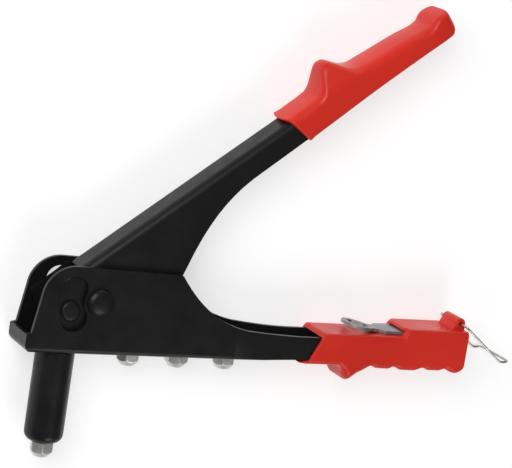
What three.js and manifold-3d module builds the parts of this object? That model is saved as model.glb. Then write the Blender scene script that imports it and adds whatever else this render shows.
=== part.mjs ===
// A hand riveter, lying on its side with its handles open.
// Millimetres. X runs back along the lower grip, Y from the nose towards the upper handle, Z is up
// from the bench. The pivot's axis is the Z axis, and the end of its lower head lies on the bench.
import * as THREE from "three";
import { mergeVertices } from "three/addons/utils/BufferGeometryUtils.js";
import Module from "manifold-3d";

const wasm = await Module();
wasm.setup();

const gap = 0.3; // between pieces that touch
const deg = Math.PI / 180;

// Driving dimensions.
const frame = {
  width: 27, // over the two cheeks
  sheet: 2.4,
  bend: 3, // outer radius of the long bends
  base: -30, // underside of the web
  front: -40.2, // face of the front lip
  lipTop: -19.5,
  corner: 5, // rounding under the front lip
  lipSetback: 3, // the cheeks' front edge starts this far behind the lip
  noseX: -15.5, // centre of the cheeks' rounded front top
  noseY: 1.2,
  noseRadius: 18.4,
  shoulderX: 46, // where the top edge turns down
  shoulderY: 17.9,
  waistX: 92, // end of the hollow rear edge
  waistY: -12.6,
  tangX: 128, // where the channel has come down to the tang's section
  tangTop: -15.2,
  tangBottom: -28.6,
  tangHalf: 11.9,
  tangEnd: 205,
  riseX: 85, // the web starts to rise to the tang here
};
const pivot = { radius: 5, headRadius: 7.35, headHeight: 4, sleeveRadius: 6.6 };
const pins = { orbit: 17, restDrop: 20.4, headRadius: 5.6, radius: 3.7, end: 4.2, inset: 0.5 };
const slot = { half: 7.8, low: 33.5, high: 22 }; // kidney slots, degrees below and above the pivot
const lever = {
  open: 39.75, // the handle's angle to the lower grip at rest
  sheet: 2.2,
  sideGap: 0.4, // each side, inside the cheeks
  bend: 5,
  top: 21.2, // top face, above the pivot
  fall: 1, // degrees by which the top face comes down along the handle
  tangTop: 15, // the part inside the upper grip is lower
  bottom: 4.7, // lower edge along the handle
  tangStep: 3.3, // the lower edge steps up by this inside the grip
  webStart: 2,
  lobeRadius: 12.6,
  frontTop: -23.2,
  frontRise: 21.1, // height of the arms' front corner
  kneeX: 46, // lowest rear corner of the arms
  kneeY: -18.6,
  tangEnd: 238,
};
const barrel = { x: -16.8, radius: 11, bore: 8.7, end: -83.4, rounding: 5, neck: 8.6, shoulder: 6.5, neckTop: -24.2 };
const nose = { flats: 12, height: 8.5, spareHeight: 7.6, stud: 4.1, studLength: 7.4, spareStud: 8, bevel: 1.9 };
const spares = { first: 27, pitch: 29.5, bores: [1.3, 2.6, 2.1], turns: [0, 30, 0] };
const grip = {
  half: 14,
  wall: 1.8,
  topY: -12.3, // front part of the lower grip's top
  raisedY: -7.7,
  bottomY: -30.8,
  frontTop: 139.8,
  frontBottom: 131.4,
  tongue: 3.8, // the underside reaches this far ahead of the sides
  stepX: 193,
  end: 236.4,
};
const stop = { x: 162, depth: 9.5, front: 153.5, back: 177 }; // finger stop under the lower grip
const scallops = { count: 3, depth: 1.9, inset: 10.9 }; // inset from the lower grip's end
const eye = { inset: 4.6, y: -4, radius: 3.2, half: 8.8, bore: 1.15 }; // inset from the lower grip's end
const bail = { wire: 0.72, half: 16.5, length: 33.5, slope: -37.5, hook: 5.4, hookSlope: 10, stub: 4.6, bendRadius: 2.4 };
const upperGrip = {
  half: 13.2,
  crown: 5, // rounding of the top's long edges
  fall: 1.9, // degrees by which the rounded top comes down along the handle
  bottom: 3.9,
  front: 144.5,
  frontSlant: 5,
  topFront: 21.5,
  saddle: 16.3, // lowest height of the top, ahead of the raised end
  endTop: 18.5,
  endRound: 7, // plan rounding of the end's corners
  hollow: 0.8, // how far the underside rises in the palm
  end: 258,
};
const lug = { x: 180, top: 34.3, front: 166, back: 197, topHalf: 2.8, half: 5.6 };
const wrench = {
  sheet: 1.8,
  ringOuter: 9.6,
  play: 0.5, // of the ring over a nosepiece's flats
  ringX: 167.4,
  bendX: 179,
  tilt: 9.5,
  neckHalf: 5,
  shoulderHalf: 8.8,
  shoulderX: 182,
  end: 226,
  pocketSide: 0.4,
};
const pull = { half: 7.6, sideGap: 0.35, top: 2.6, bottom: -13.5, nipple: 3.9, bore: 2.4, nippleEnd: -26 };
const nut = { flats: 13, height: 3.8 };
const jawCase = { noseGap: 8.5, wideLength: 19.5, coneLength: 14.5, neck: 6, neckBore: 4.2, wideGap: 0.4, coneWide: 6.6, coneNarrow: 3.6 };
const jaws = { count: 3, bore: 1.8, clearance: 0.35, split: 0.7, length: 13.2, inset: 1.1 };
const pusher = { length: 5.6, radius: 3.8, bore: 1.8 };
const jawSpring = { wire: 0.4, radius: 3.2, turns: 8 };
const returnSpring = { wire: 0.5, radius: 7.4, turns: 6.5 };

// Sizes that follow from the ones above.
const midZ = frame.width / 2 + pivot.headHeight;
const cheekIn = frame.width / 2 - frame.sheet;
const leverHalf = cheekIn - lever.sideGap;
const leverIn = leverHalf - lever.sheet;
const webTop = frame.base + frame.sheet;
const eyeX = grip.end - eye.inset;
const lockRadius = cheekIn - frame.bend / 2 + gap; // clears the rounding inside the web's bends
const wrenchFloor = grip.topY + gap;
const barrelCap = 2; // the barrel's end wall under the web, which the return spring pushes on
const pullSide = leverIn - pull.sideGap;
const caseEnd = barrel.end + jawCase.noseGap;
const coneTop = caseEnd + jawCase.coneLength;
const wideTop = caseEnd + jawCase.wideLength;
const wideRadius = barrel.bore - jawCase.wideGap;
const jawBottom = caseEnd + jaws.inset;
const jawTop = jawBottom + jaws.length;
const pusherBottom = jawTop + 0.8;
const pusherTop = pusherBottom + pusher.length;

// Materials.
const finish = (color, roughness, metalness) => new THREE.MeshStandardMaterial({ color, roughness, metalness });
const blackPaint = finish(0x222222, 0.42, 0.1);
const redPlastic = finish(0xcc3428, 0.35, 0);
const nickel = finish(0xa8a6a2, 0.3, 0.9);
const stamped = finish(0x86827e, 0.45, 0.8);
const steelWire = finish(0xb4b1ab, 0.35, 0.9);
const steel = finish(0x8d8f92, 0.4, 0.9);

// A closed geometry as a manifold solid, with its faces turned outwards.
function solid(geometry) {
  const bare = (geometry.index ? geometry.toNonIndexed() : geometry).clone();
  bare.deleteAttribute("normal");
  bare.deleteAttribute("uv");
  const merged = mergeVertices(bare, 1e-4);
  const index = merged.index.array;
  const make = (turn) => {
    const kept = [];
    for (let i = 0; i < index.length; i += 3) {
      const [a, b, c] = [index[i], index[i + 1], index[i + 2]];
      if (a !== b && b !== c && c !== a) kept.push(a, turn ? c : b, turn ? b : c);
    }
    const vertProperties = new Float32Array(merged.attributes.position.array);
    return new wasm.Manifold(new wasm.Mesh({ numProp: 3, vertProperties, triVerts: new Uint32Array(kept) }));
  };
  const made = make(false);
  return made.volume() < 0 ? make(true) : made;
}

const join = (first, ...rest) => rest.reduce((a, b) => a.add(b), first);
const cut = (first, ...rest) => rest.reduce((a, b) => a.subtract(b), first);
const common = (first, ...rest) => rest.reduce((a, b) => a.intersect(b), first);

function meshOf(made, name, material) {
  const m = made.getMesh();
  const position = new Float32Array(m.numVert * 3);
  for (let i = 0; i < m.numVert; i++) {
    position.set(m.vertProperties.subarray(i * m.numProp, i * m.numProp + 3), i * 3);
  }
  const geometry = new THREE.BufferGeometry();
  geometry.setAttribute("position", new THREE.BufferAttribute(position, 3));
  geometry.setIndex(new THREE.BufferAttribute(m.triVerts, 1));
  geometry.computeVertexNormals();
  const mesh = new THREE.Mesh(geometry, material);
  mesh.name = name;
  return mesh;
}

// A side view, drawn in X and Y, given its thickness along Z.
function plate(shape, low, high, curveSegments = 10) {
  const g = new THREE.ExtrudeGeometry(shape, { depth: high - low, bevelEnabled: false, curveSegments });
  return solid(g.translate(0, 0, low));
}

// A plan, drawn in X and Z, given its height along Y.
function slab(shape, low, high, curveSegments = 10) {
  const g = new THREE.ExtrudeGeometry(shape, { depth: high - low, bevelEnabled: false, curveSegments });
  return solid(g.rotateX(90 * deg).translate(0, high, 0));
}

// A cross-section, drawn in Z and Y, carried along X, then tilted by `fall` degrees about the pivot.
function bar(shape, low, high, curveSegments = 6, fall = 0) {
  const g = new THREE.ExtrudeGeometry(shape, { depth: high - low, bevelEnabled: false, curveSegments });
  return solid(g.rotateY(90 * deg).translate(low, 0, 0).rotateZ(-fall * deg));
}

// Turned about an axis along Y at x; profile points are [radius, y], closed or ending on the axis.
function turned(profile, x = 0, segments = 32) {
  const points = profile.map(([r, y]) => new THREE.Vector2(r, y));
  return solid(new THREE.LatheGeometry(points, segments).translate(x, 0, 0));
}

// A round bar along Z through x and y.
function pinZ(radius, low, high, x = 0, y = 0, segments = 32) {
  const g = new THREE.CylinderGeometry(radius, radius, high - low, segments);
  return solid(g.rotateX(90 * deg).translate(x, y, (low + high) / 2));
}

// A round bar along Y.
const pinY = (radius, low, high, x = 0, segments = 32) =>
  turned([[0, low], [radius, low], [radius, high], [0, high]], x, segments);

function block(x0, x1, y0, y1, z0, z1) {
  const g = new THREE.BoxGeometry(x1 - x0, y1 - y0, z1 - z0);
  return solid(g.translate((x0 + x1) / 2, (y0 + y1) / 2, (z0 + z1) / 2));
}

// A hexagon prism along Y, flats across, turned by an angle in degrees.
function hexY(flats, low, high, x, turn = 0) {
  const r = flats / Math.sqrt(3);
  const g = new THREE.CylinderGeometry(r, r, high - low, 6).rotateY(turn * deg);
  return solid(g.translate(x, (low + high) / 2, 0));
}

function polygon(points) {
  const shape = new THREE.Shape();
  points.forEach(([x, y], i) => (i ? shape.lineTo(x, y) : shape.moveTo(x, y)));
  shape.closePath();
  return shape;
}

// A cross-section of half width `half` from `low` to `high`, with its lower and upper corners rounded.
function section(half, low, high, lowRadius, highRadius) {
  const s = new THREE.Shape();
  s.moveTo(-half + lowRadius, low);
  s.lineTo(half - lowRadius, low);
  if (lowRadius) s.absarc(half - lowRadius, low + lowRadius, lowRadius, -90 * deg, 0, false);
  s.lineTo(half, high - highRadius);
  if (highRadius) s.absarc(half - highRadius, high - highRadius, highRadius, 0, 90 * deg, false);
  s.lineTo(-half + highRadius, high);
  if (highRadius) s.absarc(-half + highRadius, high - highRadius, highRadius, 90 * deg, 180 * deg, false);
  s.lineTo(-half, low + lowRadius);
  if (lowRadius) s.absarc(-half + lowRadius, low + lowRadius, lowRadius, 180 * deg, 270 * deg, false);
  return s;
}

// A round wire or rod of radius r along a curve.
function wire(path, r, steps, sides = 8) {
  const ring = new THREE.Shape();
  ring.absarc(0, 0, r, 0, 2 * Math.PI, false);
  return solid(
    new THREE.ExtrudeGeometry(ring, { steps, extrudePath: path, curveSegments: sides / 2, bevelEnabled: false }),
  );
}

class Helix extends THREE.Curve {
  constructor(radius, low, high, turns, x) {
    super();
    Object.assign(this, { radius, low, high, turns, x });
  }
  getPoint(t, target = new THREE.Vector3()) {
    const a = 2 * Math.PI * this.turns * t;
    const y = this.low + (this.high - this.low) * t;
    return target.set(this.x + this.radius * Math.cos(a), y, this.radius * Math.sin(a));
  }
}

// Straight stretches joined by rounded corners.
function roundedPath(points, radius) {
  const path = new THREE.CurvePath();
  let from = points[0];
  for (let i = 1; i < points.length - 1; i++) {
    const [before, at, after] = [points[i - 1], points[i], points[i + 1]];
    const inward = at.clone().add(before.clone().sub(at).setLength(radius));
    const outward = at.clone().add(after.clone().sub(at).setLength(radius));
    path.add(new THREE.LineCurve3(from, inward));
    path.add(new THREE.QuadraticBezierCurve3(inward, at, outward));
    from = outward;
  }
  path.add(new THREE.LineCurve3(from, points[points.length - 1]));
  return path;
}

// Kidney slot: a band about the pivot with round ends.
function kidney() {
  const [low, high] = [(180 + slot.low) * deg, (180 - slot.high) * deg];
  const at = (a) => [pins.orbit * Math.cos(a), pins.orbit * Math.sin(a)];
  const s = new THREE.Shape();
  s.absarc(0, 0, pins.orbit + slot.half, high, low, false);
  s.absarc(...at(low), slot.half, low, low + Math.PI, false);
  s.absarc(0, 0, pins.orbit - slot.half, low, high, true);
  s.absarc(...at(high), slot.half, high + Math.PI, high + 2 * Math.PI, false);
  return s;
}

// The lower frame: a pressed channel with two cheeks, a web and a short front lip.
function lowerFrame() {
  const f = frame;
  const side = new THREE.Shape();
  side.moveTo(f.front + f.corner, f.base);
  side.lineTo(f.riseX, f.base);
  side.lineTo(f.tangX, f.tangBottom);
  side.lineTo(f.tangEnd, f.tangBottom);
  side.lineTo(f.tangEnd, f.tangTop);
  side.lineTo(f.tangX, f.tangTop);
  side.quadraticCurveTo(f.waistX + 18, f.tangTop + 0.4, f.waistX, f.waistY);
  side.bezierCurveTo(f.waistX - 22, f.waistY + 4, f.shoulderX + 11, f.shoulderY - 13, f.shoulderX + 1.8, f.shoulderY - 1);
  side.quadraticCurveTo(f.shoulderX + 1, f.shoulderY, f.shoulderX - 1, f.shoulderY);
  side.lineTo(f.noseX, f.noseY + f.noseRadius);
  side.absarc(f.noseX, f.noseY, f.noseRadius, 90 * deg, 176 * deg, false);
  side.lineTo(f.front + f.lipSetback, f.lipTop + 0.8);
  side.lineTo(f.front, f.lipTop);
  side.lineTo(f.front, f.base + f.corner);
  side.absarc(f.front + f.corner, f.base + f.corner, f.corner, 180 * deg, 270 * deg, false);

  // half width along X: full over the cheeks, easing in to the tang
  const plan = (inset) => {
    const [wide, narrow] = [f.width / 2 - inset, f.tangHalf - inset];
    const s = new THREE.Shape();
    s.moveTo(f.front - 9, -wide);
    s.lineTo(f.riseX - 5, -wide);
    s.bezierCurveTo(f.riseX + 12, -wide, f.tangX - 22, -narrow, f.tangX - 6, -narrow);
    s.lineTo(f.tangEnd + 9, -narrow);
    s.lineTo(f.tangEnd + 9, narrow);
    s.lineTo(f.tangX - 6, narrow);
    s.bezierCurveTo(f.tangX - 22, narrow, f.riseX + 12, wide, f.riseX - 5, wide);
    s.lineTo(f.front - 9, wide);
    return s;
  };
  const roof = f.noseY + f.noseRadius + 9;
  const outer = common(
    plate(side, -f.width / 2, f.width / 2, 12),
    bar(section(f.width / 2, f.base, roof, f.bend, 0), f.front - 5, f.tangEnd + 5),
    slab(plan(0), f.base - 5, roof),
  );
  const hollow = polygon([
    [f.front + f.sheet, webTop],
    [f.riseX, webTop],
    [f.tangX, f.tangBottom + f.sheet],
    [f.tangEnd + 5, f.tangBottom + f.sheet],
    [f.tangEnd + 5, roof + 2],
    [f.front - 5, roof + 2],
    [f.front - 5, f.lipTop],
    [f.front + f.sheet, f.lipTop],
  ]);
  const inner = common(
    plate(hollow, -cheekIn, cheekIn),
    bar(section(cheekIn, webTop, roof + 2, f.bend - f.sheet / 2, 0), f.front - 6, f.tangEnd + 6),
    slab(plan(f.sheet), f.base - 5, roof + 2),
  );
  const studHoles = spares.bores.map((bore, i) =>
    pinY(nose.stud + gap, f.base - 3, webTop + 3, spares.first + i * spares.pitch, 20));
  return cut(
    outer,
    inner,
    pinZ(pivot.radius + gap, -f.width, f.width),
    plate(kidney(), -f.width, f.width),
    pinY(barrel.neck + gap, f.base - 3, webTop + 3, barrel.x),
    ...studHoles,
  );
}

// The lever: its outline has the handle along X, and its group turns it open about the pivot.
function upperHandle() {
  const l = lever;
  const pinAngle = (180 + pins.restDrop - l.open) * deg;
  const [px, py] = [pins.orbit * Math.cos(pinAngle), pins.orbit * Math.sin(pinAngle)];
  const stepX = upperGrip.front + upperGrip.frontSlant + 1.5;
  const topAt = (t) => l.top - t * Math.tan(l.fall * deg);
  const side = new THREE.Shape();
  side.absarc(px, py, l.lobeRadius, 175 * deg, 262 * deg, false);
  side.lineTo(0, py - l.lobeRadius - 5.5);
  side.lineTo(l.kneeX - 6, l.kneeY - 1.6);
  side.quadraticCurveTo(l.kneeX - 2, l.kneeY - 2.2, l.kneeX, l.kneeY);
  side.bezierCurveTo(l.kneeX + 14, l.kneeY + 7.6, l.kneeX + 34, l.bottom - 1.2, l.kneeX + 64, l.bottom);
  side.lineTo(stepX, l.bottom);
  side.lineTo(stepX + 2.5, l.bottom + l.tangStep);
  side.lineTo(l.tangEnd, l.bottom + l.tangStep);
  side.lineTo(l.tangEnd, l.tangTop);
  side.lineTo(stepX + 10, l.tangTop);
  side.lineTo(stepX + 4, topAt(stepX + 4));
  side.lineTo(l.webStart, topAt(l.webStart));
  side.lineTo(l.frontTop, l.frontRise);
  side.quadraticCurveTo(l.frontTop - 1.9, l.frontRise, l.frontTop - 2.3, l.frontRise - 2.1);
  const low = py - l.lobeRadius - 20;
  const body = plate(side, -leverHalf, leverHalf, 12);
  const channel = common(
    body,
    bar(section(leverHalf, low, l.top, 0, l.bend), -60, l.tangEnd + 1, 6, l.fall),
    block(l.webStart, l.tangEnd + 1, low, l.top + 5, -leverHalf, leverHalf),
  );
  const arms = common(body, block(-60, l.webStart + 0.01, low, l.top + 5, -leverHalf, leverHalf));
  const inner = join(
    bar(section(leverIn, low - 5, l.top - l.sheet, 0, l.bend - l.sheet), -70, stepX + 2.5, 6, l.fall),
    bar(section(leverIn, low - 5, l.tangTop - l.sheet, 0, 1), stepX, l.tangEnd + 5),
  );
  return cut(
    join(channel, arms),
    inner,
    block(-70, l.webStart, low - 5, l.top + 5, -leverIn, leverIn),
    pinZ(pivot.radius + gap, -leverHalf - 1, leverHalf + 1),
    pinZ(pins.radius + gap, -leverHalf - 1, leverHalf + 1, px, py, 24),
  );
}

// A trunnion pin: its head in the kidney slot, its shank through the arm and into the pull head.
function trunnion(side) {
  const a = (180 + pins.restDrop - lever.open) * deg;
  const [x, y] = [pins.orbit * Math.cos(a), pins.orbit * Math.sin(a)];
  const [face, seat] = [frame.width / 2 - pins.inset, leverHalf + 0.2];
  const profile = [
    [0, pins.end], [pins.radius, pins.end], [pins.radius, seat], [pins.headRadius, seat],
    [pins.headRadius, face - 0.5], [pins.headRadius - 0.5, face], [0, face],
  ];
  const points = profile.map(([r, h]) => new THREE.Vector2(r, h));
  const g = new THREE.LatheGeometry(points, 28).rotateX(side * 90 * deg);
  return solid(g.translate(x, y, 0));
}

// The pivot rivet: flat lower end to its head, domed upper head.
function pivotRivet() {
  const p = pivot;
  const face = frame.width / 2 + 0.1;
  const end = frame.width / 2 + p.headHeight;
  const profile = [[0, -end], [p.headRadius - 2.2, -end]];
  const dome = 5;
  for (let i = 0; i <= dome; i++) {
    const a = (i / dome) * 90 * deg;
    profile.push([p.headRadius - 2.2 + 2.2 * Math.sin(a), -face - (p.headHeight - 0.1) * Math.cos(a)]);
  }
  profile.push([p.radius, -face], [p.radius, face]);
  for (let i = 0; i <= dome; i++) {
    const a = (i / dome) * 90 * deg;
    profile.push([p.headRadius * Math.cos(a), face + (p.headHeight - 0.1) * Math.sin(a)]);
  }
  const points = profile.map(([r, h]) => new THREE.Vector2(Math.max(r, 0), h));
  return solid(new THREE.LatheGeometry(points, 36).rotateX(90 * deg));
}

const pivotSleeve = () =>
  cut(pinZ(pivot.sleeveRadius, -leverIn + gap, leverIn - gap), pinZ(pivot.radius + gap, -leverIn, leverIn));

// The nose barrel: its neck goes up through the web and takes the lock ring.
function noseBarrel() {
  const b = barrel;
  const top = frame.base - gap;
  const profile = [[b.shoulder, b.neckTop], [b.neck, b.neckTop], [b.neck, top], [b.radius, top]];
  for (let i = 0; i <= 5; i++) {
    const a = (i / 5) * 90 * deg;
    profile.push([b.radius - b.rounding * (1 - Math.cos(a)), b.end + b.rounding * (1 - Math.sin(a))]);
  }
  profile.push([nose.stud + gap, b.end], [nose.stud + gap, b.end + 6], [b.bore, b.end + 8]);
  profile.push([b.bore, top - barrelCap], [b.shoulder, top - barrelCap], [b.shoulder, b.neckTop]);
  return turned(profile, b.x, 36);
}

const lockRing = () =>
  turned(
    [
      [barrel.neck + gap, webTop + gap], [lockRadius, webTop + gap],
      [lockRadius, barrel.neckTop - 0.3], [barrel.neck + gap, barrel.neckTop - 0.3], [barrel.neck + gap, webTop + gap],
    ],
    barrel.x,
    28,
  );

// A nosepiece: a bevelled hexagon below `seat`, a stud above it, bored through for the mandrel.
function nosepiece(x, seat, height, stud, bore, turn) {
  const corner = nose.flats / Math.sqrt(3) + 0.1;
  const end = seat - height;
  const bevelled = turned(
    [[0, end], [corner - nose.bevel, end], [corner, end + nose.bevel], [corner, seat], [0, seat]],
    x,
    24,
  );
  return cut(
    join(common(hexY(nose.flats, end - 1, seat, x, turn), bevelled), pinY(nose.stud, seat - 1, seat + stud, x, 20)),
    pinY(bore, end - 2, seat + stud + 2, x, 16),
  );
}

// The lower grip: a sleeve over the tang with a raised rear part that holds the wrench.
function lowerGrip() {
  const g = grip;
  const side = new THREE.Shape();
  side.moveTo(g.frontBottom - g.tongue, frame.tangBottom - 0.6);
  side.lineTo(g.frontBottom + 2, g.bottomY);
  side.lineTo(stop.front, g.bottomY);
  side.quadraticCurveTo(stop.front + 4, g.bottomY - stop.depth, stop.x, g.bottomY - stop.depth);
  side.quadraticCurveTo(stop.x + 3, g.bottomY - stop.depth, stop.back - 4, g.bottomY - 1);
  const pitch = (g.end - scallops.inset - stop.back) / scallops.count;
  side.quadraticCurveTo(stop.back - 1.5, g.bottomY + 0.5, stop.back, g.bottomY + 0.3);
  for (let i = 0; i < scallops.count; i++) {
    const x = stop.back + i * pitch;
    side.bezierCurveTo(x + pitch * 0.35, g.bottomY - scallops.depth * 1.2,
      x + pitch * 0.65, g.bottomY - scallops.depth * 1.2, x + pitch, g.bottomY + 0.2);
  }
  side.quadraticCurveTo(g.end - 8, g.bottomY - 1.2, g.end - 5, g.bottomY - 1.9);
  side.quadraticCurveTo(g.end - 1.4, g.bottomY - 2.6, g.end - 0.8, g.bottomY + 1.2);
  side.lineTo(g.end, g.raisedY);
  side.lineTo(g.stepX + 2.6, g.raisedY);
  side.lineTo(g.stepX, g.topY);
  side.lineTo(g.frontTop, g.topY);
  side.lineTo(g.frontBottom, frame.tangBottom - 0.2);
  const low = g.bottomY - stop.depth - 2;
  const body = plate(side, -g.half, g.half, 8);
  const round = bar(section(g.half, low + 2, g.raisedY + 30, g.half - 3, 0), g.frontBottom - 9, g.end + 9, 8);
  const keel = common(body, round, block(stop.front - 3, stop.back + 3, low, g.bottomY + 1, -g.half, g.half));
  const hull = common(body, bar(section(g.half, g.bottomY - 3, g.raisedY + 9, 3.4, 0), g.frontBottom - 9, g.end + 9, 5));
  const frontPart = common(hull, bar(section(g.half, low, g.topY, 0, 3), g.frontBottom - 5, g.stepX + 3, 5));
  const rearPart = common(hull, bar(section(g.half, low, g.raisedY, 0, 3), g.stepX, g.end + 5, 5));
  const ear = new THREE.Shape();
  ear.moveTo(eyeX - eye.radius - 2.2, g.raisedY - 1);
  ear.lineTo(Math.min(eyeX + eye.radius, g.end - 0.2), g.raisedY - 1);
  ear.lineTo(Math.min(eyeX + eye.radius, g.end - 0.2), eye.y);
  ear.absarc(eyeX, eye.y, Math.min(eye.radius, g.end - 0.2 - eyeX), 0, 160 * deg, false);
  const pocketHalf = wrench.shoulderHalf + wrench.pocketSide;
  return cut(
    join(frontPart, rearPart, keel, plate(ear, -eye.half, eye.half, 8)),
    block(g.frontBottom - 9, frame.tangEnd + 1.5, frame.tangBottom - gap, frame.tangTop + gap,
      -frame.tangHalf - gap, frame.tangHalf + gap),
    block(g.stepX - 2, wrench.end + 2, g.topY, wrenchFloor + wrench.sheet + gap, -pocketHalf, pocketHalf),
    pinZ(eye.bore, -g.half * 2, g.half * 2, eyeX, eye.y, 16),
  );
}

// The upper grip: a crowned sleeve on the lever's tang, with a thumb lug and a raised end.
function upperGripBody() {
  const u = upperGrip;
  const side = new THREE.Shape();
  side.moveTo(u.front + u.frontSlant, u.bottom);
  side.quadraticCurveTo((u.front + u.end) / 2, u.bottom + 2 * u.hollow, u.end - 10, u.bottom + 0.2);
  side.bezierCurveTo(u.end - 3, u.bottom + 0.5, u.end - 1, u.bottom + 6, u.end, u.endTop - 3);
  side.quadraticCurveTo(u.end + 0.2, u.endTop, u.end - 3, u.endTop);
  side.quadraticCurveTo(u.end - 7, u.endTop, u.end - 11, u.saddle);
  side.quadraticCurveTo(u.end - 33, u.saddle + 2.9, lug.back, u.topFront - 0.6);
  side.lineTo(u.front, u.topFront);
  const plan = new THREE.Shape();
  plan.moveTo(u.front - 5, -u.half);
  plan.lineTo(u.end - u.endRound, -u.half);
  plan.absarc(u.end - u.endRound, -u.half + u.endRound, u.endRound, -90 * deg, 0, false);
  plan.absarc(u.end - u.endRound, u.half - u.endRound, u.endRound, 0, 90 * deg, false);
  plan.lineTo(u.front - 5, u.half);
  const body = common(
    plate(side, -u.half, u.half, 8),
    slab(plan, u.bottom - 1, u.endTop + 5, 6),
    bar(section(u.half, u.bottom - 20, u.topFront / Math.cos(u.fall * deg) + (u.front + 5) * Math.sin(u.fall * deg), 0, u.crown), u.front - 9, u.end + 9, 6, u.fall),
    bar(section(u.half, u.bottom - 0.01, u.topFront + 9, 3, 0), u.front - 5, u.end + 5, 6),
  );
  const rise = new THREE.Shape();
  rise.moveTo(lug.front, u.bottom + 8);
  rise.lineTo(lug.back, u.bottom + 8);
  rise.lineTo(lug.back, u.topFront - 3);
  rise.bezierCurveTo(lug.back - 6, u.topFront - 0.8, lug.x + 7.5, u.topFront + 4.4, lug.x + lug.topHalf, lug.top - 1.6);
  rise.quadraticCurveTo(lug.x + lug.topHalf - 1, lug.top, lug.x, lug.top);
  rise.quadraticCurveTo(lug.x - lug.topHalf, lug.top, lug.x - lug.topHalf - 1.2, lug.top - 2.2);
  rise.bezierCurveTo(lug.x - 6, u.topFront + 4, lug.front + 4, u.topFront + 0.4, lug.front, u.topFront - 1);
  const base = u.topFront - u.crown;
  const taper = new THREE.Shape();
  taper.moveTo(-u.half, base - 6);
  taper.lineTo(u.half, base - 6);
  taper.lineTo(u.half, base);
  taper.lineTo(lug.half + 1.6, lug.top - 3);
  taper.quadraticCurveTo(lug.half, lug.top, lug.half - 3, lug.top);
  taper.lineTo(3 - lug.half, lug.top);
  taper.quadraticCurveTo(-lug.half, lug.top, -lug.half - 1.6, lug.top - 3);
  taper.lineTo(-u.half, base);
  const thumb = common(plate(rise, -u.half, u.half, 6), bar(taper, lug.front - 1, lug.back + 1, 6));
  const stepX = u.front + u.frontSlant + 1.5;
  const tangLow = lever.bottom + lever.tangStep - gap;
  const mouth = bar(
    section(leverHalf + gap, lever.bottom - 9, lever.top + gap, 0, lever.bend), 0, stepX + 11, 6, lever.fall);
  const cavity = join(
    common(mouth, block(u.front - 9, stepX + 3, lever.bottom - gap, lever.top + 5, -u.half, u.half)),
    common(mouth, block(u.front - 9, stepX + 11, tangLow, lever.top + 5, -u.half, u.half)),
    bar(section(leverHalf + gap, tangLow, lever.tangTop + gap, 0, 1), stepX + 9, lever.tangEnd + 1.5),
  );
  return cut(join(body, thumb), cavity);
}

// The nosepiece wrench: a flat shank in the pocket and a ring bent up at the front.
function nosepieceWrench() {
  const w = wrench;
  const shank = polygon([
    [w.bendX - 0.3, -w.neckHalf], [w.shoulderX - 2, -w.neckHalf], [w.shoulderX + 1, -w.shoulderHalf], [w.end - 3, -w.shoulderHalf],
    [w.end, -w.shoulderHalf + 3], [w.end, w.shoulderHalf - 3], [w.end - 3, w.shoulderHalf],
    [w.shoulderX + 1, w.shoulderHalf], [w.shoulderX - 2, w.neckHalf], [w.bendX - 0.3, w.neckHalf],
  ]);
  const flat = slab(shank, wrenchFloor, wrenchFloor + w.sheet);
  // the ring lies flat about the bend first, and is then turned up
  const reach = w.bendX - w.ringX;
  const ring = new THREE.Shape();
  ring.absarc(-reach, 0, w.ringOuter, 35 * deg, 325 * deg, false);
  ring.lineTo(0.6, -w.neckHalf);
  ring.lineTo(0.6, w.neckHalf);
  const hole = new THREE.Path();
  for (let i = 0; i <= 6; i++) {
    const a = (i * 60 + 30) * deg;
    const corner = (nose.flats + w.play) / Math.sqrt(3);
    const [x, y] = [-reach + corner * Math.cos(a), corner * Math.sin(a)];
    if (i) hole.lineTo(x, y);
    else hole.moveTo(x, y);
  }
  ring.holes.push(hole);
  const g = new THREE.ExtrudeGeometry(ring, { depth: w.sheet, bevelEnabled: false, curveSegments: 22 });
  g.rotateX(90 * deg).translate(0, w.sheet, 0).rotateZ(-w.tilt * deg);
  return join(flat, solid(g.translate(w.bendX, wrenchFloor, 0)));
}

// The latch bail: one wire, from the eye along both legs to the hooked cross end.
function latchBail() {
  const b = bail;
  const along = new THREE.Vector3(Math.cos(b.slope * deg), Math.sin(b.slope * deg), 0);
  const hook = new THREE.Vector3(Math.cos(b.hookSlope * deg), Math.sin(b.hookSlope * deg), 0);
  const at = new THREE.Vector3(eyeX, eye.y, 0);
  const leg = at.clone().addScaledVector(along, b.length);
  const tip = leg.clone().addScaledVector(hook, b.hook);
  const side = (p, z) => new THREE.Vector3(p.x, p.y, z);
  const points = [
    side(at, -b.stub), side(at, -b.half), side(leg, -b.half), side(tip, -b.half),
    side(tip, b.half), side(leg, b.half), side(at, b.half), side(at, b.stub),
  ];
  return wire(roundedPath(points, b.bendRadius), b.wire, 130);
}

// The pull head: a yoke on the trunnion pins, bored for the mandrel, with a threaded nipple below.
function pullHead() {
  const p = pull;
  const drop = pins.restDrop * deg;
  const pinY0 = -pins.orbit * Math.sin(drop);
  const hole = (reach) => {
    const r = pins.radius + 0.15;
    const s = new THREE.Shape();
    s.absarc(-reach, 0, r, 90 * deg, 270 * deg, false);
    s.absarc(reach, 0, r, -90 * deg, 90 * deg, false);
    return s;
  };
  const centre = (-pins.orbit - pins.orbit * Math.cos(drop)) / 2;
  const slotHole = new THREE.ExtrudeGeometry(hole(1), { depth: 40, bevelEnabled: false, curveSegments: 12 });
  slotHole.translate(centre, pinY0, -20);
  return cut(
    join(
      block(barrel.x - p.half, barrel.x + p.half, p.bottom, p.top, -pullSide, pullSide),
      pinY(p.nipple, p.nippleEnd, p.bottom + 1, barrel.x, 24),
    ),
    solid(slotHole),
    pinY(p.bore, p.nippleEnd - 1, p.top + 1, barrel.x, 20),
  );
}

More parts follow.
